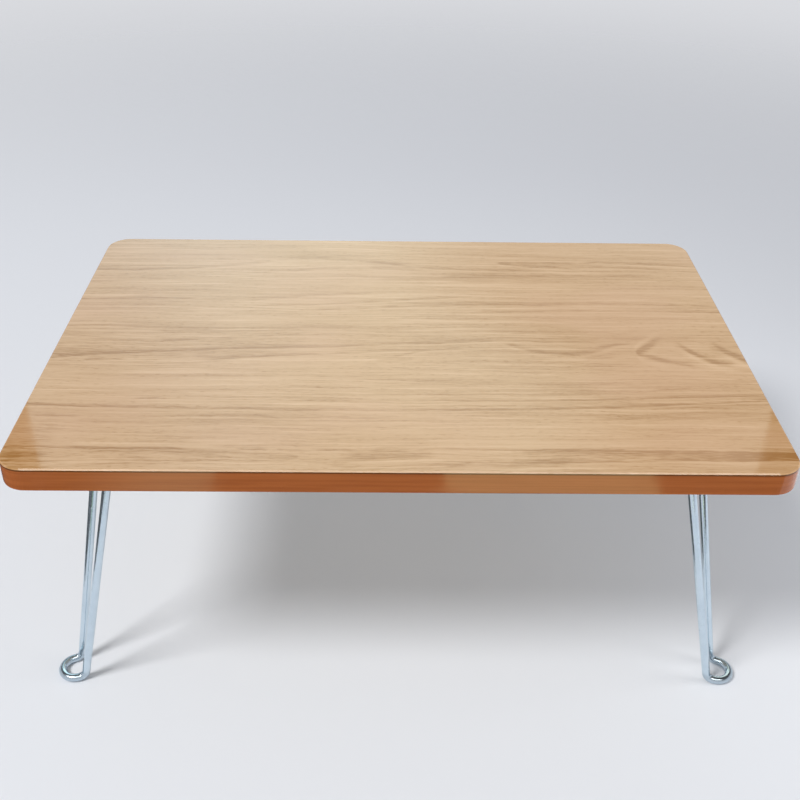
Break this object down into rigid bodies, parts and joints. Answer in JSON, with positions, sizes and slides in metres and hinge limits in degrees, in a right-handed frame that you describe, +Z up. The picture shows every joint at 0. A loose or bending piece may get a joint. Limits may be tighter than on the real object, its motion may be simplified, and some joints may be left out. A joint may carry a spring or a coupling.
{
  "type": "folding desk",
  "caption": "Low rectangular folding desk: a rounded wood-print board with a brown edge band on splayed hairpin wire legs that fold flat under it.",
  "frame": {"origin": "on the floor under the middle of the desktop, legs open", "axes": "+X along the long side to the sitter's right, +Y from the sitter's side to the back, +Z up"},
  "size_m": [0.607, 0.4, 0.26],
  "materials": {
    "oak_laminate": "semi-gloss laminate with a pale oak print, grain along X",
    "brown_edge_band": "smooth orange-brown plastic band, semi-gloss",
    "fibreboard": "raw wood-fibre board",
    "backing_sheet": "matt resin-soaked balancing sheet",
    "plated_wire": "bright plated steel wire",
    "zinc_bracket": "pressed steel, bright zinc plated",
    "zinc_screw": "zinc plated",
    "cap_nylon": "moulded black nylon"
  },
  "bodies": {
    "desktop": {"core_board": "fibreboard", "top_sheet": "oak_laminate", "underside_sheet": "backing_sheet", "edge_band": "brown_edge_band", "front_left_bracket": "zinc_bracket", "front_left_screws": "zinc_screw", "front_right_bracket": "zinc_bracket", "front_right_screws": "zinc_screw", "rear_left_bracket": "zinc_bracket", "rear_left_screws": "zinc_screw", "rear_right_bracket": "zinc_bracket", "rear_right_screws": "zinc_screw"},
    "front_left_swing": {"front_left_leg": "plated_wire", "front_left_pivot_caps": "cap_nylon"},
    "front_right_swing": {"front_right_leg": "plated_wire", "front_right_pivot_caps": "cap_nylon"},
    "rear_left_swing": {"rear_left_leg": "plated_wire", "rear_left_pivot_caps": "cap_nylon"},
    "rear_right_swing": {"rear_right_leg": "plated_wire", "rear_right_pivot_caps": "cap_nylon"}
  },
  "joints": [
    {"name": "front_left_fold", "type": "hinge", "parent": "desktop", "child": "front_left_swing", "pos_m": [-0.237, -0.136, 0.231], "axis": [0.3584, -0.9336, 0], "range_deg": [0, 103]},
    {"name": "front_right_fold", "type": "hinge", "parent": "desktop", "child": "front_right_swing", "pos_m": [0.237, -0.136, 0.231], "axis": [0.3584, 0.9336, 0], "range_deg": [0, 103]},
    {"name": "rear_left_fold", "type": "hinge", "parent": "desktop", "child": "rear_left_swing", "pos_m": [-0.237, 0.136, 0.231], "axis": [-0.3584, -0.9336, 0], "range_deg": [0, 103]},
    {"name": "rear_right_fold", "type": "hinge", "parent": "desktop", "child": "rear_right_swing", "pos_m": [0.237, 0.136, 0.231], "axis": [-0.3584, 0.9336, 0], "range_deg": [0, 103]}
  ]
}
